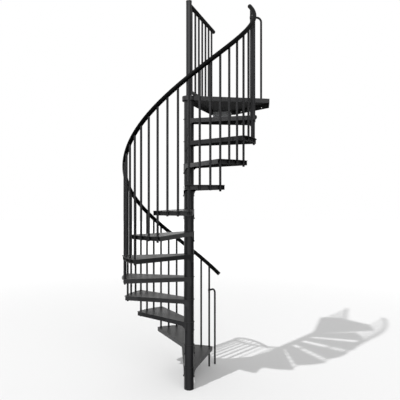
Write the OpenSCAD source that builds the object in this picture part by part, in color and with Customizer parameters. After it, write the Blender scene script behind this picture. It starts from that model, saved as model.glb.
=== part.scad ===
// Spiral staircase: round centre pole, twelve folded sheet-steel treads, a pie-shaped landing,
// a helical handrail on round balusters, and a straight guard rail along the landing.
// Millimetres, +Z up. The origin is the centre of the pole's foot, on the floor.
// The stair climbs anticlockwise seen from above. Angles count anticlockwise from +X.

/* [Stair] */
// Radius of a tread, from the pole's axis to the lip at its rim
tread_radius = 640; // [560:5:780]
// Height from one tread to the next
rise = 215; // [175:1:235]
// Angle from one tread to the next
twist = 25.1; // [22:0.1:28]
// Direction of the first baluster, which starts the stair
start_angle = 66.6; // [0:0.1:360]

/* [Pole] */
// Outside diameter of the centre pole
pole_d = 95; // [76:1:115]
// Wall of the centre pole
pole_wall = 4; // [3:0.5:8]
// Thickness of the disc that closes the foot of the pole
foot_disc = 10; // [6:1:16]
// Outside diameter of the upper post, above the landing
post_d = 54; // [42:1:70]
// Wall of the upper post
post_wall = 3; // [2:0.5:5]
// Height of the upper post above the landing's top rail, without its cap
post_overrun = 1; // [0:1:60]
// Height of the straight band of the post's cap
cap_band = 12; // [6:1:20]
// Height of the dome on the post's cap
cap_dome = 9; // [4:1:14]
// Width of the flat ledge around the dome
cap_ledge = 8; // [4:1:12]

/* [Treads] */
// Thickness of the folded steel sheet
sheet = 3; // [2:0.5:4]
// Depth of the folded edges
flange_depth = 40; // [34:1:50]
// Gap between the pole and the cheeks of a tread
cheek_gap = 0.5; // [0.4:0.1:1]
// Depth of the cheeks that clasp the pole, below the tread's top
cheek_depth = 95; // [85:1:130]
// Radius of the curve from a side flange down to its cheek
cheek_curve = 55; // [30:1:70]
// Length of a cheek behind the pole's centre
cheek_tail = 12; // [10:1:20]
// Cut across the back corners of a cheek
cheek_nose = 5; // [2:1:8]
// Width of the ring that closes the tread's top around the pole
ring_width = 6.5; // [5:0.5:12]
// Width of the lip that overhangs the recessed web at the rim
lip_width = 37; // [34:1:50]
// How far the bottom lip stops short of the top lip
bottom_lip_step = 13; // [5:1:15]
// How far a side flange stops short of the top lip
side_flange_step = 9; // [4:1:14]

/* [Balusters] */
// Diameter of a baluster
baluster_d = 20; // [12:1:20]
// Distance from the tread's rim to the centre of a baluster
baluster_inset = 25; // [20:1:26]
// Distance from a side flange's face to the centre of the end baluster
baluster_side_inset = 33; // [20:1:40]
// Length of a baluster below the tread that carries it
short_tail = 6; // [4:1:12]
// Length of an end baluster below the lower tread that it passes through
long_tail = 14; // [10:1:30]
// Gap around a baluster in its hole, and under the handrail
fit_gap = 0.3; // [0.2:0.05:0.5]

/* [Handrail] */
// Diameter of the handrail
handrail_d = 40; // [32:1:50]
// Height of the handrail's centre above the front end of a tread
handrail_height = 888; // [800:1:1000]
// Angle that the handrail runs on below the first baluster
handrail_lead = 10.5; // [4:0.5:14]
// Angle that the handrail runs on above the last baluster
handrail_tail = 3.6; // [2:0.1:6]
// Thickness of the flat cap at the handrail's lower end
flat_cap = 4; // [2:1:8]
// Height of the domed cap at the handrail's upper end
domed_cap = 12; // [6:1:16]

/* [Landing] */
// Angle between the two straight sides of the landing
landing_span = 55.6; // [45:0.1:70]
// Length of each straight side
landing_side = 792; // [720:1:900]
// Distance from the pole's axis to the outer edge
landing_reach = 870; // [840:5:1000]
// Length of the outer edge
landing_edge = 490; // [300:2:560]
// Thickness of the landing's plate
landing_plate = 4; // [3:0.5:6]
// Depth of the landing's folded edges
landing_depth = 42; // [36:1:60]
// Space between the pole and the collar around its top
collar_gap = 14.5; // [8:0.5:25]
// Distance between the two holes that fix the outer edge to the floor above
fixing_pitch = 290; // [200:10:420]
// Radius of a fixing hole
fixing_r = 5; // [4:0.5:8]
// Distance from the landing's side corner to the edge plate
edge_plate_start = 14; // [10:1:40]
// Distance from the edge plate to the landing's outer corner
edge_plate_end = 38; // [10:1:60]
// How far the edge plate hangs below the landing's folded edge
edge_plate_drop = 31; // [24:1:50]
// Thickness of the edge plate
edge_plate_t = 5; // [4:1:8]

/* [Landing rail] */
// Height of the top rail's centre above the landing
rail_height = 884; // [800:1:1000]
// Length of the top rail from the pole's axis
rail_length = 800; // [760:5:900]
// Length of the rounded end of the top rail
rail_nose = 14; // [6:1:16]
// Height of the bottom rail's centre above the landing
bottom_rail_height = 57; // [40:1:100]
// Side of the square bottom rail
bottom_rail_size = 25; // [24:1:30]
// Length of the bottom rail past its last baluster
bottom_rail_end = 40; // [15:1:60]
// Distance from the pole's axis to the first baluster of the landing rail
rail_first = 75; // [60:1:100]
// Distance between balusters of the landing rail
rail_pitch = 106; // [90:1:115]

/* [Gap bars] */
// Height of the lower gap bar above the floor
foot_bar_height = 828; // [600:1:1000]
// Height of the upper gap bar above the landing
landing_bar_height = 791; // [600:1:900]
// Distance from a gap bar to its baluster
gap_bar_reach = 99; // [82:1:110]
// Bend radius of a gap bar, at its centre line
gap_bar_bend = 45; // [20:1:50]
// Outside diameter of a collar
collar_d = 26; // [22:1:32]
// Height of a collar
collar_h = 24; // [16:1:30]

/* [Hidden] */
tread_count = 12;
per_tread = 3;                          // balusters to a tread
rail_baluster_count = 7;
handrail_sections = 4;
last_baluster = tread_count * per_tread;

pole_r = pole_d / 2;
cheek_offset = pole_r + cheek_gap + sheet;      // outer face of a side flange
collar_r = pole_r + collar_gap + sheet;
baluster_r = tread_radius - baluster_inset;
web_r = tread_radius - lip_width;       // outer face of the recessed web
bottom_lip_r = tread_radius - bottom_lip_step;
web_depth = flange_depth - 1;           // the bottom lip lies just inside the side flanges
landing_z = (tread_count + 1) * rise;
post_height = rail_height + handrail_d / 2 + post_overrun;

// A side edge runs at this angle from the tread's centre line
end_lag = asin((cheek_offset - baluster_side_inset) / baluster_r);
edge_angle = twist / 2 - end_lag;
landing_angle = start_angle + tread_count * twist + end_lag + landing_span / 2;
rail_angle = landing_span / 2 + end_lag;
last_leg = rail_first + (rail_baluster_count - 1) * rail_pitch;  // the landing rail's last baluster

climb = atan(rise / (twist * PI / 180 * baluster_r));   // slope of the handrail
bolt_r = 4;
bolt_head_r = 8;
bolt_head = 5;
bolt_drop = 7;                          // bolt centre above the lower edge of a cheek
bolt_back = 3;                          // bolt centre behind the pole's centre
cheek_front = 7;                        // straight front of a cheek, ahead of the pole's centre
foot_bar_dir = 46;                      // from the first baluster out to the lower gap bar
landing_bar_dir = 0;                    // from the last baluster out to the upper gap bar
ring_step = 1.5;                        // angle between two rings of the handrail
rail_sides = 24;
black = "#2b2b2d";
dark = "#1d1d1f";

// ---- Rules for places ----

function baluster_angle(j) = start_angle + j * twist / per_tread;
function rail_z(angle) = rise + handrail_height + (angle - start_angle) / twist * rise;
function tread_angle(n) = start_angle + (n - 0.5) * twist;

// Lower end of baluster j: the first stands on the floor
function baluster_foot(j) =
    j == 0 ? 0 :
    j % per_tread == 0 ? j / per_tread * rise - flange_depth - long_tail :
    ceil(j / per_tread) * rise - flange_depth - short_tail;

// ---- Round bars ----

module rod(d, length) {
    cylinder(d = d, h = length, $fn = 48);
}

module ring(outer, inner, height) {
    linear_extrude(height) difference() {
        circle(r = outer, $fn = 96);
        circle(r = inner, $fn = 96);
    }
}

// Upright baluster at angle a on the rim, cut to the underside of the sloping handrail
module stair_baluster(a, foot) {
    top = rail_z(a);
    rotate([0, 0, a]) translate([baluster_r, 0, 0]) difference() {
        translate([0, 0, foot]) rod(baluster_d, top - foot);
        translate([0, 0, top]) rotate([climb - 90, 0, 0])
            cylinder(r = handrail_d / 2 + fit_gap, h = 4 * handrail_d, center = true, $fn = 48);
    }
}

module balusters_of(n) {
    color(black) for (j = [per_tread * (n - 1) : per_tread * n - 1])
        stair_baluster(baluster_angle(j), baluster_foot(j));
}

module balusters_top() {
    color(black) stair_baluster(baluster_angle(last_baluster), baluster_foot(last_baluster));
}

// ---- Pole ----

module centre_pole() {
    color(black) {
        difference() {
            cylinder(r = pole_r, h = landing_z - landing_plate, $fn = 96);
            translate([0, 0, foot_disc])
                cylinder(r = pole_r - pole_wall, h = landing_z, $fn = 96);
        }
    }
}

module upper_post() {
    color(black) translate([0, 0, landing_z])
        ring(post_d / 2, post_d / 2 - post_wall, post_height);
}

// Flat cap with a shallow dome on it
module post_cap() {
    cap_r = post_d / 2 + 1;
    color(dark) translate([0, 0, landing_z + post_height]) {
        cylinder(r = cap_r, h = cap_band, $fn = 96);
        translate([0, 0, cap_band]) dome(cap_r - cap_ledge, cap_dome);
    }
}

// ---- Treads ----
// A tread's own frame: the centre line is +X, the walking surface is at z = 0.

// Plan between the two side flanges, to the middle of their thickness
module wedge() {
    foot = (cheek_offset - sheet / 2) * [-sin(edge_angle), cos(edge_angle)];
    tip = foot + 1.3 * tread_radius * [cos(edge_angle), sin(edge_angle)];
    polygon([[foot.x, -foot.y], [tip.x, -tip.y], tip, foot]);
}

module tread_band(outer, inner, z, height) {
    translate([0, 0, z]) linear_extrude(height) intersection() {
        wedge();
        difference() {
            circle(r = outer, $fn = 180);
            circle(r = inner, $fn = 180);
        }
    }
}

// Side flange with its cheek, drawn as seen from the side: x along the edge, y up
module flange_profile() {
    length = sqrt(pow(tread_radius - side_flange_step, 2) - pow(cheek_offset, 2));
    curve_x = cheek_front + cheek_curve;
    polygon(concat(
        [[-cheek_tail, cheek_nose - cheek_depth], [-cheek_tail, 0],
         [length, 0], [length, -flange_depth]],
        [for (t = [90 : 10 : 180])
            [curve_x + cheek_curve * cos(t), -flange_depth - cheek_curve + cheek_curve * sin(t)]],
        [[cheek_front, -cheek_depth], [cheek_nose - cheek_tail, -cheek_depth]]));
}

module side_flange(side) {
    rotate([0, 0, side * edge_angle])
        translate([0, side > 0 ? cheek_offset : sheet - cheek_offset, 0]) rotate([90, 0, 0])
            linear_extrude(sheet) difference() {
                flange_profile();
                translate([-bolt_back, bolt_drop - cheek_depth])
                    circle(r = bolt_r + fit_gap, $fn = 32);
            }
}

module tread(n) {
    color(black) translate([0, 0, n * rise]) rotate([0, 0, tread_angle(n)]) difference() {
        union() {
            tread_band(tread_radius, pole_r, -sheet, sheet);
            translate([0, 0, -sheet]) ring(pole_r + ring_width, pole_r - 1, sheet);
            tread_band(web_r, web_r - sheet, -web_depth, web_depth - sheet / 2);
            tread_band(bottom_lip_r, web_r - sheet / 2, -web_depth, sheet);
            for (side = [-1, 1])
                side_flange(side);
        }
        translate([0, 0, -2 * sheet])
            cylinder(r = pole_r + fit_gap, h = 3 * sheet, $fn = 96);
        for (k = [0 : per_tread])
            rotate([0, 0, (k / per_tread - 0.5) * twist]) translate([baluster_r, 0, -2 * flange_depth])
                cylinder(d = baluster_d + 2 * fit_gap, h = 3 * flange_depth, $fn = 48);
    }
}

// One screw at the foot of each cheek, pressing on the pole
module tread_bolts() {
    reach = cheek_offset - pole_r - fit_gap;
    color(dark) for (n = [1 : tread_count], side = [-1, 1])
        translate([0, 0, n * rise - cheek_depth + bolt_drop])
            rotate([0, 0, tread_angle(n) + side * edge_angle])
                translate([-bolt_back, side * (cheek_offset - reach), 0])
                    rotate([-side * 90, 0, 0]) {
                        cylinder(r = bolt_r, h = reach, $fn = 32);
                        translate([0, 0, reach]) cylinder(r = bolt_head_r, h = bolt_head, $fn = 6);
                    }
}

// ---- Landing ----
// Its own frame: the centre line is +X, the walking surface is at z = 0.
function landing_foot(side) =
    cheek_offset * [-sin(landing_span / 2), side * cos(landing_span / 2)];
function landing_corner(side) =
    landing_foot(side) + landing_side * [cos(landing_span / 2), side * sin(landing_span / 2)];
function landing_outline() = [landing_foot(-1), landing_corner(-1),
    [landing_reach, -landing_edge / 2], [landing_reach, landing_edge / 2],
    landing_corner(1), landing_foot(1)];

// Left-hand normal of the edge from p to q
function edge_normal(p, q) = [p.y - q.y, q.x - p.x] / norm(q - p);

// Outline moved inwards by d, for a convex outline that runs anticlockwise
function inset(points, d) = [for (i = [0 : len(points) - 1])
    let (n = len(points),
         before = edge_normal(points[(i + n - 1) % n], points[i]),
         after = edge_normal(points[i], points[(i + 1) % n]))
    points[i] + d * (before + after) / (1 + before * after)];

// Plan of the folded edges and of the collar around the pole
module landing_flange_plan() {
    difference() {
        polygon(landing_outline());
        polygon(inset(landing_outline(), sheet));
        circle(r = collar_r - sheet / 2, $fn = 96);
    }
    difference() {
        circle(r = collar_r, $fn = 96);
        circle(r = collar_r - sheet, $fn = 96);
    }
}

module landing() {
    color(black) translate([0, 0, landing_z]) rotate([0, 0, landing_angle]) difference() {
        union() {
            translate([0, 0, -landing_plate]) linear_extrude(landing_plate) {
                polygon(landing_outline());
                circle(r = collar_r, $fn = 96);
            }
            translate([0, 0, -landing_depth])
                linear_extrude(landing_depth - landing_plate / 2) landing_flange_plan();
        }
        rotate([0, 0, -rail_angle]) translate([baluster_r, 0, -landing_depth])
            cylinder(d = baluster_d + 2 * fit_gap, h = 2 * landing_depth, $fn = 48);
        rotate([0, 0, rail_angle]) translate([last_leg, 0, -landing_depth])
            cylinder(d = baluster_d + 2 * fit_gap, h = 2 * landing_depth, $fn = 48);
        for (y = [-0.5, 0.5] * fixing_pitch)
            translate([landing_reach - 2 * sheet, y, -landing_depth / 2 - landing_plate / 2])
                rotate([0, 90, 0]) cylinder(r = fixing_r, h = 3 * sheet, $fn = 32);
    }
}

// Flat plate inside the folded edge that joins the top rail's side to the outer edge
module landing_edge_plate() {
    corner = landing_corner(1);
    edge = [landing_reach, landing_edge / 2] - corner;
    depth = landing_depth + edge_plate_drop;
    color("silver") translate([0, 0, landing_z]) rotate([0, 0, landing_angle])
        translate([corner.x, corner.y, 0]) rotate([0, 0, atan2(edge.y, edge.x)])
            translate([edge_plate_start, -sheet - fit_gap - edge_plate_t, -depth])
                cube([norm(edge) - edge_plate_start - edge_plate_end, edge_plate_t,
                      depth - landing_plate - fit_gap]);
}

// ---- Handrail ----

function rail_point(a, r, t) =
    let (spoke = [cos(a), sin(a), 0],
         up = [sin(a) * sin(climb), -cos(a) * sin(climb), cos(climb)])
    baluster_r * spoke + [0, 0, rail_z(a)] + r * (cos(t) * spoke + sin(t) * up);

rail_from = start_angle - handrail_lead;
rail_to = baluster_angle(last_baluster) + handrail_tail;

// Bar of rail_sides sides swept along the helix from angle a to angle b
module rail_sweep(a, b) {
    steps = ceil((b - a) / ring_step);
    s = rail_sides;
    points = [for (k = [0 : steps], i = [0 : s - 1])
        rail_point(a + (b - a) * k / steps, handrail_d / 2, i * 360 / s)];
    faces = concat([[for (i = [s - 1 : -1 : 0]) i]],
        [for (k = [0 : steps - 1], i = [0 : s - 1])
            [k * s + i, k * s + (i + 1) % s, (k + 1) * s + (i + 1) % s, (k + 1) * s + i]],
        [[for (i = [0 : s - 1]) steps * s + i]]);
    polyhedron(points, faces, convexity = 4);
}

module handrail_section(k) {
    run = (rail_to - rail_from) / handrail_sections;
    color(dark) rail_sweep(rail_from + (k - 1) * run, rail_from + k * run);
}

// Puts a shape that points along +Z at angle a of the handrail, pointing up the stair
module at_rail_end(a) {
    rotate([0, 0, a]) translate([baluster_r, 0, rail_z(a)]) rotate([climb - 90, 0, 0]) children();
}

module dome(r, height) {
    ball_r = (r * r + height * height) / (2 * height);
    intersection() {
        translate([0, 0, height - ball_r]) sphere(r = ball_r, $fn = 64);
        cylinder(r = r + 1, h = height + 1, $fn = 64);
    }
}

module handrail_end_caps() {
    color(dark) {
        at_rail_end(rail_from) rotate([180, 0, 0])
            cylinder(d = handrail_d, h = flat_cap, $fn = 64);
        at_rail_end(rail_to) dome(handrail_d / 2, domed_cap);
    }
}

// ---- Landing rail ----
// Drawn along +X from the pole's axis, then turned to the side of the landing.

module along_landing_rail() {
    translate([0, 0, landing_z]) rotate([0, 0, landing_angle + rail_angle]) children();
}

module post_cut() {
    cylinder(r = post_d / 2 + fit_gap, h = 4 * handrail_d, center = true, $fn = 96);
}

module landing_top_rail() {
    straight = rail_length - rail_nose;
    color(dark) along_landing_rail() translate([0, 0, rail_height]) difference() {
        rotate([0, 90, 0]) union() {
            cylinder(d = handrail_d, h = straight, $fn = 64);
            translate([0, 0, straight]) dome(handrail_d / 2, rail_nose);
        }
        post_cut();
    }
}

module landing_bottom_rail() {
    size = bottom_rail_size;
    length = last_leg + bottom_rail_end;
    color(black) along_landing_rail() translate([0, 0, bottom_rail_height]) difference() {
        translate([0, -size / 2, -size / 2]) cube([length, size, size]);
        post_cut();
        translate([last_leg, 0, -size])
            cylinder(d = baluster_d + 2 * fit_gap, h = 2 * size, $fn = 48);
    }
}

module landing_balusters() {
    seat = bottom_rail_height + bottom_rail_size / 2;
    last = rail_baluster_count - 1;
    color(black) along_landing_rail() for (k = [0 : last]) {
        foot = k == last ? -landing_depth - short_tail : seat;
        difference() {
            translate([rail_first + k * rail_pitch, 0, foot]) rod(baluster_d, rail_height - foot);
            translate([0, 0, rail_height]) rotate([0, 90, 0])
                cylinder(r = handrail_d / 2 + fit_gap, h = rail_length, $fn = 64);
        }
    }
}

// ---- Gap bars ----
// A gap bar's own frame: it stands at the origin and its arm reaches along +X.

module gap_bar(height) {
    reach = gap_bar_reach - collar_d / 2 - fit_gap;
    rod(baluster_d, height - gap_bar_bend);
    translate([gap_bar_bend, 0, height - gap_bar_bend]) rotate([90, 0, 180])
        rotate_extrude(angle = 90, $fn = 64) translate([gap_bar_bend, 0])
            circle(d = baluster_d, $fn = 48);
    translate([gap_bar_bend, 0, height]) rotate([0, 90, 0])
        rod(baluster_d, reach - gap_bar_bend);
}

// Moves a bar that reaches along +X so that its arm ends at baluster angle a, from direction dir
module bar_at(a, dir, z) {
    translate([baluster_r * cos(a), baluster_r * sin(a), z]) rotate([0, 0, dir])
        translate([gap_bar_reach, 0, 0]) rotate([0, 0, 180]) children();
}

module foot_gap_bar() {
    color(black) bar_at(start_angle, foot_bar_dir, 0) gap_bar(foot_bar_height);
}

module landing_gap_bar() {
    color(black) bar_at(baluster_angle(last_baluster), landing_bar_dir, landing_z)
        gap_bar(landing_bar_height);
}

module collar_at(a, z) {
    translate([baluster_r * cos(a), baluster_r * sin(a), z - collar_h / 2])
        ring(collar_d / 2, baluster_d / 2 + fit_gap / 2, collar_h);
}

module gap_bar_collars() {
    color(dark) {
        collar_at(start_angle, foot_bar_height);
        collar_at(baluster_angle(last_baluster), landing_z + landing_bar_height);
    }
}

centre_pole();
upper_post();
post_cap();
tread(1);  // tread_01
tread(2);  // tread_02
tread(3);  // tread_03
tread(4);  // tread_04
tread(5);  // tread_05
tread(6);  // tread_06
tread(7);  // tread_07
tread(8);  // tread_08
tread(9);  // tread_09
tread(10);  // tread_10
tread(11);  // tread_11
tread(12);  // tread_12
tread_bolts();
landing();
landing_edge_plate();
balusters_of(1);  // balusters_01
balusters_of(2);  // balusters_02
balusters_of(3);  // balusters_03
balusters_of(4);  // balusters_04
balusters_of(5);  // balusters_05
balusters_of(6);  // balusters_06
balusters_of(7);  // balusters_07
balusters_of(8);  // balusters_08
balusters_of(9);  // balusters_09
balusters_of(10);  // balusters_10
balusters_of(11);  // balusters_11
balusters_of(12);  // balusters_12
balusters_top();
handrail_section(1);  // handrail_1
handrail_section(2);  // handrail_2
handrail_section(3);  // handrail_3
handrail_section(4);  // handrail_4
handrail_end_caps();
landing_top_rail();
landing_bottom_rail();
landing_balusters();
foot_gap_bar();
landing_gap_bar();
gap_bar_collars();
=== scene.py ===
# Spiral staircase in black powder-coated steel: what is seen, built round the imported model.
# Metres, +Z up, the pole's foot at the origin. The stair climbs anticlockwise seen from above.
import math
import bmesh
import bpy
from mathutils import Matrix, Vector


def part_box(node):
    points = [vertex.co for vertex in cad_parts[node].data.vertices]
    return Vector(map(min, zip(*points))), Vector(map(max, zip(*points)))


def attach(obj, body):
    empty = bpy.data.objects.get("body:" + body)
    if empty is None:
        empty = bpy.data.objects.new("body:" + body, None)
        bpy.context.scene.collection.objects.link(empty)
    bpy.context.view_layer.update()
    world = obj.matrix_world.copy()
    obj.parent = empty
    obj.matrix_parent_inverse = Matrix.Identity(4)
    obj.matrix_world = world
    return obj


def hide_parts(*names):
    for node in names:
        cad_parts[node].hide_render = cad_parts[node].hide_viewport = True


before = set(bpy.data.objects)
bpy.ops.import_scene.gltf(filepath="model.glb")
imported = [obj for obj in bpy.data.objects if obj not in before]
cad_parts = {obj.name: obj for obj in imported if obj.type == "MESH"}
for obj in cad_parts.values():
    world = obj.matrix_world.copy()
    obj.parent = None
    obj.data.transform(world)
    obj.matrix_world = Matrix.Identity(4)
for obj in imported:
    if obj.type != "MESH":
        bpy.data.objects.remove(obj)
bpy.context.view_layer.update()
print("frame loaded,", len(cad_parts), "nodes")

mm = 0.001
tiny = 0.1 * mm         # heights that differ by less are the same
spunGap = 0.01 * mm     # points of a spun shape that lie closer than this become one
cadGap = 0.02 * mm      # the same for the corners of a CAD mesh's triangles
flatDegrees = 0.5       # CAD triangles that turn less than this from one to the next are one face
curveDegrees = 30       # an edge that turns more than this is a real one, not a facet of a curve
cornerDegrees = 60      # the same where curves are cut in coarser facets
smoothDegrees = 40      # edges that turn less than this are shaded smooth
barSides = 32           # sides of each bar and of what goes round it


# places read from the frame

def boxCentre(node):
    low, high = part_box(node)
    return (low + high) / 2


def nodePoints(node):
    return [v.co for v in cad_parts[node].data.vertices]


stair = {
    "treads": 12,
    "balustersPerTread": 3,
    "startAngle": 66.6,       # direction of the first baluster, degrees from +X
    "twist": 25.1,            # degrees from one tread to the next
    "railHeight": 888 * mm,   # handrail's centre above the front end of a tread
}
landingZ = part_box("upper_post")[0].z
rise = landingZ / (stair["treads"] + 1)
rimR = max(p.xy.length for p in nodePoints("tread_01"))
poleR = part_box("centre_pole")[1].x
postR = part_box("upper_post")[1].x
barR = (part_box("balusters_top")[1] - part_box("balusters_top")[0]).x / 2
balusterR = boxCentre("balusters_top").xy.length
railR = (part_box("landing_top_rail")[1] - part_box("landing_top_rail")[0]).z / 2
climb = math.atan(rise / (math.radians(stair["twist"]) * balusterR))
lastBaluster = stair["treads"] * stair["balustersPerTread"]


def balusterAngle(j):
    return stair["startAngle"] + j * stair["twist"] / stair["balustersPerTread"]


def railZ(angle):
    return rise + stair["railHeight"] + (angle - stair["startAngle"]) / stair["twist"] * rise


def onRim(angle, z):
    a = math.radians(angle)
    return Vector((balusterR * math.cos(a), balusterR * math.sin(a), z))


# shaping with bmesh operators

def turn(axis, degrees):
    return Matrix.Rotation(math.radians(degrees), 4, axis)


def shift(*by):
    return Matrix.Translation(by)


def sharpEdges(bm, degrees=curveDegrees):
    limit = math.radians(degrees)
    return [e for e in bm.edges if e.is_manifold and e.calc_face_angle() > limit]


def roundEdges(bm, edges, radius, segments=2):
    if edges:
        bmesh.ops.bevel(bm, geom=edges, offset=radius, offset_type="OFFSET", segments=segments,
                        profile=0.5, affect="EDGES", clamp_overlap=True, material=-1)


def ends(swept, kind):
    # the new end of an extrude or a spin
    found = [g for g in swept if isinstance(g, kind)]
    if kind is bmesh.types.BMEdge:
        verts = {g for g in swept if isinstance(g, bmesh.types.BMVert)}
        found = [e for e in found if e.verts[0] in verts and e.verts[1] in verts]
    return found


def turned(profile, place=Matrix.Identity(4), segments=48, rounding=0.0):
    # a profile of (radius, height) points spun about the Z axis, then put in its place
    bm = bmesh.new()
    verts = [bm.verts.new((r, 0, z)) for r, z in profile]
    edges = [bm.edges.new(pair) for pair in zip(verts, verts[1:])]
    bmesh.ops.spin(bm, geom=verts + edges, cent=(0, 0, 0), axis=(0, 0, 1),
                   angle=2 * math.pi, steps=segments, use_merge=True)
    bmesh.ops.remove_doubles(bm, verts=bm.verts, dist=spunGap)
    bmesh.ops.recalc_face_normals(bm, faces=bm.faces)
    if rounding:
        roundEdges(bm, sharpEdges(bm), rounding, segments=3)
    bmesh.ops.transform(bm, matrix=place, verts=bm.verts)
    return bm


def domeProfile(radius, height, steps=8):
    # (radius, height) points of a shallow dome, from its rim to its top
    ballR = (radius ** 2 + height ** 2) / (2 * height)
    reach = math.asin(radius / ballR)
    return [(ballR * math.sin(reach * (1 - k / steps)),
             height - ballR + ballR * math.cos(reach * (1 - k / steps))) for k in range(steps + 1)]


def bar(radius, length, place, foot=0.0):
    # solid round bar that stands on its place, with its lower edge rounded by foot
    bm = turned([(0, 0), (radius, 0), (radius, length), (0, length)], segments=barSides)
    if foot:
        rim = [e for e in sharpEdges(bm) if max(v.co.z for v in e.verts) < tiny]
        roundEdges(bm, rim, foot, segments=4)
    bmesh.ops.transform(bm, matrix=place, verts=bm.verts)
    return bm


def joined(parts):
    # one bmesh that holds them all
    whole = bmesh.new()
    for part in parts:
        mesh = bpy.data.meshes.new("part")
        part.to_mesh(mesh)
        part.free()
        whole.from_mesh(mesh)
        bpy.data.meshes.remove(mesh)
    return whole


def mergedCopy(node):
    # a node's own shape with its loose triangles merged into whole faces
    bm = bmesh.new()
    bm.from_mesh(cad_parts[node].data)
    bmesh.ops.remove_doubles(bm, verts=bm.verts, dist=cadGap)
    bmesh.ops.dissolve_limit(bm, angle_limit=math.radians(flatDegrees), verts=bm.verts,
                             edges=bm.edges, use_dissolve_boundaries=False, delimit=set())
    return bm


def addPiece(bm, name, material, nodes=()):
    mesh = bpy.data.meshes.new(name)
    bm.to_mesh(mesh)
    bm.free()
    mesh.materials.append(material)
    mesh.shade_smooth()
    mesh.set_sharp_from_angle(angle=math.radians(smoothDegrees))
    piece = bpy.data.objects.new(name, mesh)
    bpy.context.scene.collection.objects.link(piece)
    flat = piece.modifiers.new("flatFaces", "WEIGHTED_NORMAL")
    flat.keep_sharp = True
    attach(piece, "root")
    if nodes:
        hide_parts(*nodes)
    return piece


# materials

def fromHex(code):
    # sRGB hex colour to the linear values that shaders take
    channels = [int(code[i:i + 2], 16) / 255 for i in (1, 3, 5)]
    return [c / 12.92 if c <= 0.04045 else ((c + 0.055) / 1.055) ** 2.4 for c in channels] + [1]


def addNode(tree, kind, values=None, links=None, **settings):
    node = tree.nodes.new(kind)
    for name, value in settings.items():
        setattr(node, name, value)
    for name, value in (values or {}).items():
        node.inputs[name].default_value = value
    for name, socket in (links or {}).items():
        tree.links.new(socket, node.inputs[name])
    return node


def emptyTree(owner):
    owner.use_nodes = True
    owner.node_tree.nodes.clear()
    return owner.node_tree


def perMetre(millimetres):
    # noise scale whose grains are about that many millimetres across
    return 1000 / millimetres


# a noise stays near its middle, so a pattern goes from none to all between these values of it
noiseSpan = {"patches": (0.35, 0.65), "gloss": (0.3, 0.7), "topSheen": (0.25, 0.75)}

# Polyester powder coat, sprayed and baked: a satin black with a faint orange peel, so flat faces
# show broad soft reflections that break up slightly. What faces up is painted a lighter, warmer grey
# in uneven patches: a painted sheen for the light that the tops catch.
powderCoat = {
    "dark": "#1B1B1D", "light": "#202022",
    "patchMm": 180,
    "peelMm": 3.5, "peelDepthMm": 0.02,     # real peel is about 1.5 mm; drawn coarser to show
    "smoothest": 0.42, "roughest": 0.5,
    # painted sheen: a lighter, warmer grey on what faces up, for the light that the tops catch
    "topSheen": "#3C3B38", "sheenPatchMm": 30,
    "sheenLeast": 0.4, "sheenMost": 0.48,     # the least is a share of the most
    "sheenStarts": 0.6,                      # a face's upward lean from which the painted sheen starts
    "specular": 0.5,
    "skin": 0.0, "skinRoughness": 0.45,
}


def powderCoated(name, look):
    material = bpy.data.materials.new(name)
    tree = emptyTree(material)
    place = addNode(tree, "ShaderNodeTexCoord").outputs["Object"]
    # the coat's colour and gloss drift together in wide soft patches
    patches = addNode(tree, "ShaderNodeTexNoise", {"Scale": perMetre(look["patchMm"]), "Detail": 4},
                      {"Vector": place}).outputs["Fac"]
    patchLow, patchHigh = noiseSpan["patches"]
    patchShare = addNode(tree, "ShaderNodeMapRange", {"From Min": patchLow, "From Max": patchHigh},
                         {"Value": patches})
    coat = addNode(tree, "ShaderNodeMixRGB", {"Color1": fromHex(look["dark"]),
                                              "Color2": fromHex(look["light"])},
                   {"Fac": patchShare.outputs["Result"]})
    glossLow, glossHigh = noiseSpan["gloss"]
    gloss = addNode(tree, "ShaderNodeMapRange",
                    {"From Min": glossLow, "From Max": glossHigh,
                     "To Min": look["smoothest"], "To Max": look["roughest"]}, {"Value": patches})
    # painted sheen: a lighter, warmer grey laid in uneven patches, and only on what faces up
    facing = addNode(tree, "ShaderNodeSeparateXYZ",
                     links={"Vector": addNode(tree, "ShaderNodeNewGeometry").outputs["Normal"]})
    upward = addNode(tree, "ShaderNodeMapRange", {"From Min": look["sheenStarts"], "From Max": 1.0},
                     {"Value": facing.outputs["Z"]})
    sheenPatches = addNode(tree, "ShaderNodeTexNoise", {"Scale": perMetre(look["sheenPatchMm"]), "Detail": 3},
                     {"Vector": place})
    sheenLow, sheenHigh = noiseSpan["topSheen"]
    sheenAmount = addNode(tree, "ShaderNodeMapRange",
                      {"From Min": sheenLow, "From Max": sheenHigh,
                       "To Min": look["sheenLeast"] * look["sheenMost"], "To Max": look["sheenMost"]},
                      {"Value": sheenPatches.outputs["Fac"]})
    sheenShare = addNode(tree, "ShaderNodeMath", links={0: upward.outputs["Result"],
                                                   1: sheenAmount.outputs["Result"]},
                    operation="MULTIPLY")
    colour = addNode(tree, "ShaderNodeMixRGB", {"Color2": fromHex(look["topSheen"])},
                     {"Fac": sheenShare.outputs["Value"], "Color1": coat.outputs["Color"]})
    grain = addNode(tree, "ShaderNodeTexNoise", {"Scale": perMetre(look["peelMm"]), "Detail": 2},
                    {"Vector": place})
    peel = addNode(tree, "ShaderNodeBump", {"Strength": 1.0, "Distance": look["peelDepthMm"] * mm},
                   {"Height": grain.outputs["Fac"]})
    shader = addNode(tree, "ShaderNodeBsdfPrincipled",
                     {"IOR": 1.5, "Specular IOR Level": look["specular"],
                      "Coat Weight": look["skin"], "Coat Roughness": look["skinRoughness"]},
                     {"Base Color": colour.outputs["Color"], "Roughness": gloss.outputs["Result"],
                      "Normal": peel.outputs["Normal"]})
    addNode(tree, "ShaderNodeOutputMaterial", links={"Surface": shader.outputs["BSDF"]})
    return material


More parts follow.
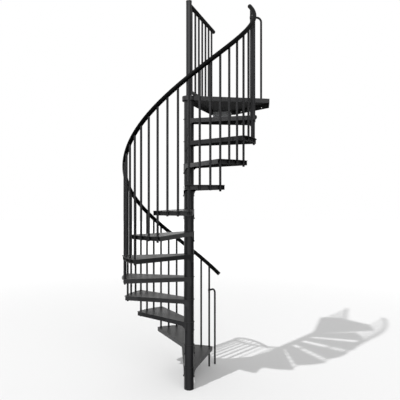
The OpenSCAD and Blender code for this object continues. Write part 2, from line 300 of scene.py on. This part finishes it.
# On folded sheet a thin skin of resin lies over the coat, which greys where it is seen at a low angle.
steelCoat = powderCoated("blackPowderCoatedSheet", {**powderCoat, "skin": 0.12})
# The same coat on the drawn pipe of the pole and the post, which takes it glossier and has no painted
# sheen on top.
pipeCoat = powderCoated("blackPowderCoatedPipe", {
    **powderCoat, "smoothest": 0.28, "roughest": 0.34, "sheenMost": 0.0})
# The same coat on a thin drawn tube: finer patches along the bar, and a duller shine.
barCoat = powderCoated("blackPowderCoatedTube", {
    **powderCoat, "dark": "#1A1A1C", "light": "#222224", "patchMm": 60, "peelMm": 2.5,
    "specular": 0.3})
# Extruded vinyl sleeve, pulled over the tube while warm: deeper black, smooth, a dull wide sheen.
sleeve = powderCoated("blackVinylHandrail", {
    **powderCoat, "dark": "#060607", "light": "#090909", "peelMm": 6, "peelDepthMm": 0.01,
    "smoothest": 0.4, "roughest": 0.5, "sheenMost": 0.0, "specular": 0.05})
# Moulded nylon caps and blackened screws: near black, with a fine moulded grain.
fittings = powderCoated("blackNylonFittings", {
    **powderCoat, "dark": "#101011", "light": "#161617", "patchMm": 20, "peelMm": 1.5,
    "smoothest": 0.4, "roughest": 0.55, "sheenMost": 0.0})


# Zinc-plated mild steel: a pale bluish grey with soft cloudy patches, rolled before it was plated.
zincPlate = {
    "dark": "#D8DBDD", "light": "#E8EAEB",
    "patchMm": 30,
    "grainMm": 2, "grainStretch": 12, "grainDepthMm": 0.01,     # coarser than real rolling marks
    "metal": 0.5,                                               # the rest is its dull grey bloom
    "smoothest": 0.5, "roughest": 0.65,
}


def zincPlated(name, look):
    material = bpy.data.materials.new(name)
    tree = emptyTree(material)
    place = addNode(tree, "ShaderNodeTexCoord").outputs["Object"]
    clouds = addNode(tree, "ShaderNodeTexNoise", {"Scale": perMetre(look["patchMm"]), "Detail": 5},
                     {"Vector": place}).outputs["Fac"]
    cloudLow, cloudHigh = noiseSpan["patches"]
    cloudShare = addNode(tree, "ShaderNodeMapRange", {"From Min": cloudLow, "From Max": cloudHigh},
                         {"Value": clouds})
    colour = addNode(tree, "ShaderNodeMixRGB", {"Color1": fromHex(look["dark"]),
                                                "Color2": fromHex(look["light"])},
                     {"Fac": cloudShare.outputs["Result"]})
    glossLow, glossHigh = noiseSpan["gloss"]
    gloss = addNode(tree, "ShaderNodeMapRange",
                    {"From Min": glossLow, "From Max": glossHigh,
                     "To Min": look["smoothest"], "To Max": look["roughest"]}, {"Value": clouds})
    # rolling marks run along the plate, so they are much finer up and down it
    rolled = addNode(tree, "ShaderNodeMapping", {"Scale": (1, 1, look["grainStretch"])},
                     {"Vector": place})
    grain = addNode(tree, "ShaderNodeTexNoise",
                    {"Scale": perMetre(look["grainMm"] * look["grainStretch"]), "Detail": 2},
                    {"Vector": rolled.outputs["Vector"]})
    bump = addNode(tree, "ShaderNodeBump",
                   {"Strength": 1.0, "Distance": look["grainDepthMm"] * mm},
                   {"Height": grain.outputs["Fac"]})
    shader = addNode(tree, "ShaderNodeBsdfPrincipled", {"Metallic": look["metal"]},
                     {"Base Color": colour.outputs["Color"],
                      "Roughness": gloss.outputs["Result"], "Normal": bump.outputs["Normal"]})
    addNode(tree, "ShaderNodeOutputMaterial", links={"Surface": shader.outputs["BSDF"]})
    return material


zinc = zincPlated("zincPlatedSteel", zincPlate)
print("materials made")


# pole and upper post

pole = {"edge": 1.5 * mm, "postEdge": 0.5 * mm}
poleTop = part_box("centre_pole")[1].z
addPiece(turned([(0, 0), (poleR, 0), (poleR, poleTop), (0, poleTop)], segments=96,
                rounding=pole["edge"]),
         "centrePole", pipeCoat, ["centre_pole"])
postLow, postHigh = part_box("upper_post")
addPiece(turned([(0, postLow.z), (postR, postLow.z), (postR, postHigh.z), (0, postHigh.z)],
                segments=64, rounding=pole["postEdge"]),
         "upperPost", pipeCoat, ["upper_post"])

cap = {"band": 12 * mm, "ledge": 8 * mm, "edge": 1 * mm}
capLow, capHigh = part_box("post_cap")
bandTop = capLow.z + cap["band"]
dome = [(r, bandTop + z) for r, z in domeProfile(capHigh.x - cap["ledge"], capHigh.z - bandTop)]
addPiece(turned([(0, capLow.z), (capHigh.x, capLow.z), (capHigh.x, bandTop)] + dome, segments=64,
                rounding=cap["edge"]),
         "postCap", fittings, ["post_cap"])
print("pole and post made")


# treads: folded sheet, so the long folds are rounded and the cut edges only broken

treadLook = {"bend": 1.4 * mm, "edge": 0.4 * mm, "shortestFold": rimR / 2}


def topFolds(bm, top, shortest):
    # long edges where the walking surface turns down
    return [e for e in sharpEdges(bm) if e.calc_length() > shortest
            and all(abs(v.co.z - top) < tiny for v in e.verts)]


def makeTread(number):
    node = f"tread_{number:02d}"
    bm = mergedCopy(node)
    roundEdges(bm, topFolds(bm, number * rise, treadLook["shortestFold"]), treadLook["bend"],
               segments=3)
    roundEdges(bm, sharpEdges(bm, cornerDegrees), treadLook["edge"], segments=1)
    addPiece(bm, f"tread{number:02d}", steelCoat, [node])


for number in range(1, stair["treads"] + 1):
    makeTread(number)
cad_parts["tread_bolts"].data.materials.clear()
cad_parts["tread_bolts"].data.materials.append(fittings)
print("treads made")


# balusters: round tubes that stand in the treads and end inside the handrail

balusterLook = {"footRounding": 5 * mm, "seat": 6 * mm}   # seat: how far a top enters the handrail


def footOf(node, j):
    # lowest point of the bar that stands at that baluster's place
    centre = onRim(balusterAngle(j), 0).xy
    return min(p.z for p in nodePoints(node) if (p.xy - centre).length < 2 * barR)


def stairBaluster(node, j):
    angle = balusterAngle(j)
    foot = footOf(node, j)
    length = railZ(angle) - railR + balusterLook["seat"] - foot
    return bar(barR, length, Matrix.Translation(onRim(angle, foot)), balusterLook["footRounding"])


for number in range(1, stair["treads"] + 1):
    node = f"balusters_{number:02d}"
    first = stair["balustersPerTread"] * (number - 1)
    bars = [stairBaluster(node, first + k) for k in range(stair["balustersPerTread"])]
    addPiece(joined(bars), f"balusters{number:02d}", barCoat, [node])
addPiece(stairBaluster("balusters_top", lastBaluster), "balustersTop", barCoat,
         ["balusters_top"])
print("balusters made")


# handrail: one bent length, made as a circle that climbs while it turns

handrail = {"lead": 10.5, "tail": 3.6, "stepDegrees": 1.5, "sides": 48,
            "flatCap": 4 * mm, "domedCap": 12 * mm, "capEdge": 1 * mm}
railStart = stair["startAngle"] - handrail["lead"]
railEnd = balusterAngle(lastBaluster) + handrail["tail"]


def railFrame(angle):
    # turns a shape drawn along +Z to point up the handrail at that angle
    return (Matrix.Translation(onRim(angle, railZ(angle))) @ turn("Z", angle)
            @ turn("X", math.degrees(climb) - 90))


bm = bmesh.new()
bmesh.ops.create_circle(bm, cap_ends=False, radius=railR, segments=handrail["sides"],
                        matrix=railFrame(railStart))
firstRing = list(bm.edges)
steps = math.ceil((railEnd - railStart) / handrail["stepDegrees"])
swept = bmesh.ops.spin(bm, geom=list(bm.verts) + firstRing, cent=(0, 0, 0), axis=(0, 0, 1),
                       dvec=(0, 0, (railZ(railEnd) - railZ(railStart)) / steps),
                       angle=math.radians(railEnd - railStart), steps=steps)
for ring in (firstRing, ends(swept["geom_last"], bmesh.types.BMEdge)):
    bmesh.ops.contextual_create(bm, geom=ring)
bmesh.ops.recalc_face_normals(bm, faces=bm.faces)
addPiece(bm, "handrail", sleeve, [f"handrail_{k}" for k in range(1, 5)])

lower = turned([(0, 0), (railR, 0), (railR, handrail["flatCap"]), (0, handrail["flatCap"])],
               railFrame(railStart) @ turn("X", 180), rounding=handrail["capEdge"])
upper = turned([(0, 0)] + domeProfile(railR, handrail["domedCap"]), railFrame(railEnd))
addPiece(joined([lower, upper]), "handrailEndCaps", fittings,
         ["handrail_end_caps"])
print("handrail made")


# landing: a folded tray, and the plate that fixes its slanted edge

landingLook = {"bend": 2 * mm, "edge": 0.5 * mm, "shortestFold": 100 * mm}
bm = mergedCopy("landing")
roundEdges(bm, topFolds(bm, landingZ, landingLook["shortestFold"]), landingLook["bend"],
           segments=3)
roundEdges(bm, sharpEdges(bm, cornerDegrees), landingLook["edge"], segments=1)
addPiece(bm, "landing", steelCoat, ["landing"])

edgePlateLook = {"edge": 0.6 * mm}
bm = mergedCopy("landing_edge_plate")
roundEdges(bm, sharpEdges(bm, cornerDegrees), edgePlateLook["edge"])
addPiece(bm, "landingEdgePlate", zinc, ["landing_edge_plate"])

# landing rail: it runs out from the post above one straight side of the landing
railDirection = boxCentre("landing_top_rail").xy
railTurn = Matrix.Rotation(math.atan2(railDirection.y, railDirection.x), 4, "Z")
topRail = {"length": 800 * mm, "nose": 14 * mm}
railAxisZ = boxCentre("landing_top_rail").z
straight = topRail["length"] - topRail["nose"] - postR
nose = [(r, straight + z) for r, z in domeProfile(railR, topRail["nose"])]
addPiece(turned([(0, 0), (railR, 0)] + nose,
                shift(0, 0, railAxisZ) @ railTurn @ shift(postR, 0, 0) @ turn("Y", 90)),
         "landingTopRail", sleeve, ["landing_top_rail"])

bottomRail = {"size": 25 * mm, "length": 751 * mm, "corner": 2 * mm, "intoPost": 2 * mm}
bottomZ = boxCentre("landing_bottom_rail").z
innerEnd = postR - bottomRail["intoPost"]
bm = bmesh.new()
bmesh.ops.create_cube(bm, size=1, matrix=shift(0, 0, bottomZ) @ railTurn
                      @ shift((bottomRail["length"] + innerEnd) / 2, 0, 0)
                      @ Matrix.Diagonal((bottomRail["length"] - innerEnd, bottomRail["size"],
                                         bottomRail["size"], 1)))
roundEdges(bm, sharpEdges(bm), bottomRail["corner"], segments=3)
addPiece(bm, "landingBottomRail", steelCoat, ["landing_bottom_rail"])

landingBars = {"first": 75 * mm, "pitch": 106 * mm, "count": 7, "intoRail": 1 * mm}
seatZ = bottomZ + bottomRail["size"] / 2
bars = []
for k in range(landingBars["count"]):
    isLast = k == landingBars["count"] - 1
    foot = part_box("landing_balusters")[0].z if isLast else seatZ - landingBars["intoRail"]
    place = railTurn @ shift(landingBars["first"] + k * landingBars["pitch"], 0, foot)
    bars.append(bar(barR, railAxisZ - railR + balusterLook["seat"] - foot, place,
                    balusterLook["footRounding"] if isLast else 0.0))
addPiece(joined(bars), "landingBalusters", barCoat, ["landing_balusters"])

# a small fillet weld runs round each bar that stands on the bottom rail
welds = {"leg": 2.5 * mm, "steps": 4}


def filletRing(radius, leg, place):
    hollow = [(radius + leg * (1 - math.sin(math.pi / 2 * k / welds["steps"])),
               leg * (1 - math.cos(math.pi / 2 * k / welds["steps"])))
              for k in range(welds["steps"] + 1)]
    return turned([(radius - leg / 2, 0)] + hollow + [(radius - leg / 2, leg), (radius - leg / 2, 0)],
                  place, segments=barSides)


beads = [filletRing(barR, welds["leg"],
                    railTurn @ shift(landingBars["first"] + k * landingBars["pitch"], 0, seatZ))
         for k in range(landingBars["count"])]
addPiece(joined(beads), "landingBalusterWelds", steelCoat)
print("landing made")


# gap bars: each stands on its own foot, bends over and ends in a collar round a baluster

gapBarLook = {"reach": 99 * mm, "bend": 45 * mm, "footDirection": 46, "landingDirection": 0,
              "collarR": 13 * mm, "collarEdge": 1 * mm, "intoCollar": 1 * mm, "bendSteps": 14}


def gapBar(foot, height, angle, direction):
    # drawn from the origin, reaching along +X, then turned to end at its baluster
    bend = gapBarLook["bend"]
    bm = bmesh.new()
    bmesh.ops.create_circle(bm, cap_ends=True, radius=barR, segments=barSides)
    leg = bmesh.ops.extrude_edge_only(bm, edges=list(bm.edges))["geom"]
    bmesh.ops.translate(bm, verts=ends(leg, bmesh.types.BMVert), vec=(0, 0, height - bend))
    start = ends(leg, bmesh.types.BMVert) + ends(leg, bmesh.types.BMEdge)
    elbow = bmesh.ops.spin(bm, geom=start, cent=(bend, 0, height - bend), axis=(0, 1, 0),
                           angle=math.pi / 2, steps=gapBarLook["bendSteps"])["geom_last"]
    arm = bmesh.ops.extrude_edge_only(bm, edges=ends(elbow, bmesh.types.BMEdge))["geom"]
    armLength = gapBarLook["reach"] - gapBarLook["collarR"] + gapBarLook["intoCollar"] - bend
    bmesh.ops.translate(bm, verts=ends(arm, bmesh.types.BMVert), vec=(armLength, 0, 0))
    bmesh.ops.contextual_create(bm, geom=ends(arm, bmesh.types.BMEdge))
    bmesh.ops.recalc_face_normals(bm, faces=bm.faces)
    rim = [e for e in sharpEdges(bm, cornerDegrees) if max(v.co.z for v in e.verts) < tiny]
    roundEdges(bm, rim, balusterLook["footRounding"], segments=4)
    place = (Matrix.Translation(onRim(angle, foot)) @ turn("Z", direction)
             @ shift(gapBarLook["reach"], 0, 0) @ turn("Z", 180))
    bmesh.ops.transform(bm, matrix=place, verts=bm.verts)
    return bm


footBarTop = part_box("foot_gap_bar")[1].z - barR
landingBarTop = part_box("landing_gap_bar")[1].z - barR
lastAngle = balusterAngle(lastBaluster)
addPiece(gapBar(0, footBarTop, stair["startAngle"], gapBarLook["footDirection"]), "footGapBar",
         barCoat, ["foot_gap_bar"])
addPiece(gapBar(landingZ, landingBarTop - landingZ, lastAngle, gapBarLook["landingDirection"]),
         "landingGapBar", barCoat, ["landing_gap_bar"])

collarH = (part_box("gap_bar_collars")[1].z - landingBarTop) * 2
collarProfile = [(barR, -collarH / 2), (gapBarLook["collarR"], -collarH / 2),
                 (gapBarLook["collarR"], collarH / 2), (barR, collarH / 2), (barR, -collarH / 2)]
collars = [turned(collarProfile, Matrix.Translation(onRim(angle, z)), segments=barSides,
                  rounding=gapBarLook["collarEdge"])
           for angle, z in ((stair["startAngle"], footBarTop), (lastAngle, landingBarTop))]
addPiece(joined(collars), "gapBarCollars", fittings, ["gap_bar_collars"])
print("gap bars made")


# floor, lights and camera

studio = {
    "floorSize": 60, "floorNear": "#E6E6E6", "floorFar": "#FFFFFF", "nearR": 3, "farR": 14,
    "sunFrom": (-0.486, -0.476, 0.735), "sunPower": 2.15, "sunSize": 1.1,
    "background": 1.0,      # what the camera sees behind the stair
    "fill": 0.28,           # even light from every side
    "below": 0.05,          # share of the fill and the high boxes that is left under the horizon
    "horizonDepth": 0.06,   # how far under the horizon they fade to that share
    # soft boxes: the high ones fade with the fill, and the low ones reach under the horizon. Each
    # has the way it lies in, the cosines from there at which it ends and is full, and its strength
    "highBoxes": [
        {"from": (0.0, 1.0, 0.0), "edge": 0.93, "full": 1.0, "strength": 1.0},
        {"from": (0.0, 1.0, 0.03), "edge": 0.975, "full": 0.998, "strength": 1.4},
        {"from": (0.0, 0.0, 1.0), "edge": 0.1, "full": 0.9, "strength": 0.25},
        {"from": (0.2, -1.0, 0.6), "edge": 0.8, "full": 0.95, "strength": 1.1},
    ],
    "lowBoxes": [
        {"from": (-0.85, 0.45, 0.0), "edge": 0.6, "full": 0.95, "strength": 0.4},
        {"from": (-0.6, 1.0, -0.25), "edge": 0.8, "full": 0.95, "strength": 0.8},
        {"from": (0.1, -1.0, 0.12), "edge": 0.45, "full": 0.9, "strength": 0.4},
        {"from": (-0.25, -1.0, 0.17), "edge": 0.955, "full": 0.99, "strength": 0.8},
        {"from": (-0.7, -0.7, 0.05), "edge": 0.75, "full": 0.97, "strength": 0.35},
        {"from": (0.67, 0.73, -0.35), "edge": 0.85, "full": 0.97, "strength": 0.6},
    ],
}
bm = bmesh.new()
bmesh.ops.create_grid(bm, x_segments=1, y_segments=1, size=studio["floorSize"] / 2)
floorMesh = bpy.data.meshes.new("floor")
bm.to_mesh(floorMesh)
bm.free()
floor = bpy.data.objects.new("floor", floorMesh)
bpy.context.scene.collection.objects.link(floor)
floor.visible_glossy = False        # the black steel reflects the studio, not the bright floor
floor.visible_diffuse = False
# matt white paper that brightens with distance, so that it meets the background without a line
floorMaterial = bpy.data.materials.new("whitePaperFloor")
floorTree = emptyTree(floorMaterial)
spot = addNode(floorTree, "ShaderNodeTexCoord").outputs["Object"]
away = addNode(floorTree, "ShaderNodeVectorMath", links={0: spot}, operation="LENGTH")
fade = addNode(floorTree, "ShaderNodeMapRange",
               {"From Min": studio["nearR"], "From Max": studio["farR"]},
               {"Value": away.outputs["Value"]}, interpolation_type="SMOOTHSTEP")
white = addNode(floorTree, "ShaderNodeMixRGB", {"Color1": fromHex(studio["floorNear"]),
                                                "Color2": fromHex(studio["floorFar"])},
                {"Fac": fade.outputs["Result"]})
paper = addNode(floorTree, "ShaderNodeBsdfPrincipled",
                {"Roughness": 0.9, "Specular IOR Level": 0.0},
                {"Base Color": white.outputs["Color"]})
addNode(floorTree, "ShaderNodeOutputMaterial", links={"Surface": paper.outputs["BSDF"]})
floorMesh.materials.append(floorMaterial)

lamp = bpy.data.lights.new("sun", "SUN")
lamp.energy = studio["sunPower"]
lamp.angle = math.radians(studio["sunSize"])
sun = bpy.data.objects.new("sun", lamp)
sun.rotation_euler = Vector(studio["sunFrom"]).to_track_quat("Z", "Y").to_euler()
bpy.context.scene.collection.objects.link(sun)

world = bpy.data.worlds.new("studio")
bpy.context.scene.world = world
worldTree = emptyTree(world)
way = addNode(worldTree, "ShaderNodeTexCoord").outputs["Generated"]
height = addNode(worldTree, "ShaderNodeSeparateXYZ", links={"Vector": way}).outputs["Z"]


def addBoxes(total, boxes):
    # adds the glow of each soft box to the light that comes from a direction
    for box in boxes:
        nearness = addNode(worldTree, "ShaderNodeVectorMath",
                           {1: Vector(box["from"]).normalized()}, {0: way},
                           operation="DOT_PRODUCT")
        glow = addNode(worldTree, "ShaderNodeMapRange",
                       {"From Min": box["edge"], "From Max": box["full"],
                        "To Max": box["strength"]},
                       {"Value": nearness.outputs["Value"]}, interpolation_type="SMOOTHSTEP")
        total = addNode(worldTree, "ShaderNodeMath", links={0: total, 1: glow.outputs["Result"]},
                        operation="ADD").outputs["Value"]
    return total


fill = addNode(worldTree, "ShaderNodeValue").outputs["Value"]
fill.default_value = studio["fill"]
horizon = addNode(worldTree, "ShaderNodeMapRange",
                  {"From Min": -studio["horizonDepth"], "From Max": 0.0,
                   "To Min": studio["below"]}, {"Value": height})
above = addNode(worldTree, "ShaderNodeMath", links={0: addBoxes(fill, studio["highBoxes"]),
                                                    1: horizon.outputs["Result"]},
                operation="MULTIPLY")
light = addBoxes(above.outputs["Value"], studio["lowBoxes"])
seen = addNode(worldTree, "ShaderNodeLightPath").outputs["Is Camera Ray"]
level = addNode(worldTree, "ShaderNodeMix", {"B": studio["background"]},
                {"Factor": seen, "A": light}, data_type="FLOAT")
sky = addNode(worldTree, "ShaderNodeBackground", {"Color": (1, 1, 1, 1)},
              {"Strength": level.outputs["Result"]})
addNode(worldTree, "ShaderNodeOutputWorld", links={"Surface": sky.outputs["Background"]})

cameraLook = {"lens": 40.4, "shiftX": 0.077, "shiftY": -0.0075, "place": (-0.189, -4.30, 1.835)}
camera = bpy.data.cameras.new("camera")
camera.lens = cameraLook["lens"]
camera.shift_x = cameraLook["shiftX"]
camera.shift_y = cameraLook["shiftY"]
view = bpy.data.objects.new("camera", camera)
view.location = cameraLook["place"]
view.rotation_euler = (math.pi / 2, 0, 0)       # level, looking along +Y
bpy.context.scene.collection.objects.link(view)
bpy.context.scene.camera = view
bpy.context.scene.view_settings.view_transform = "Standard"
print("studio made")
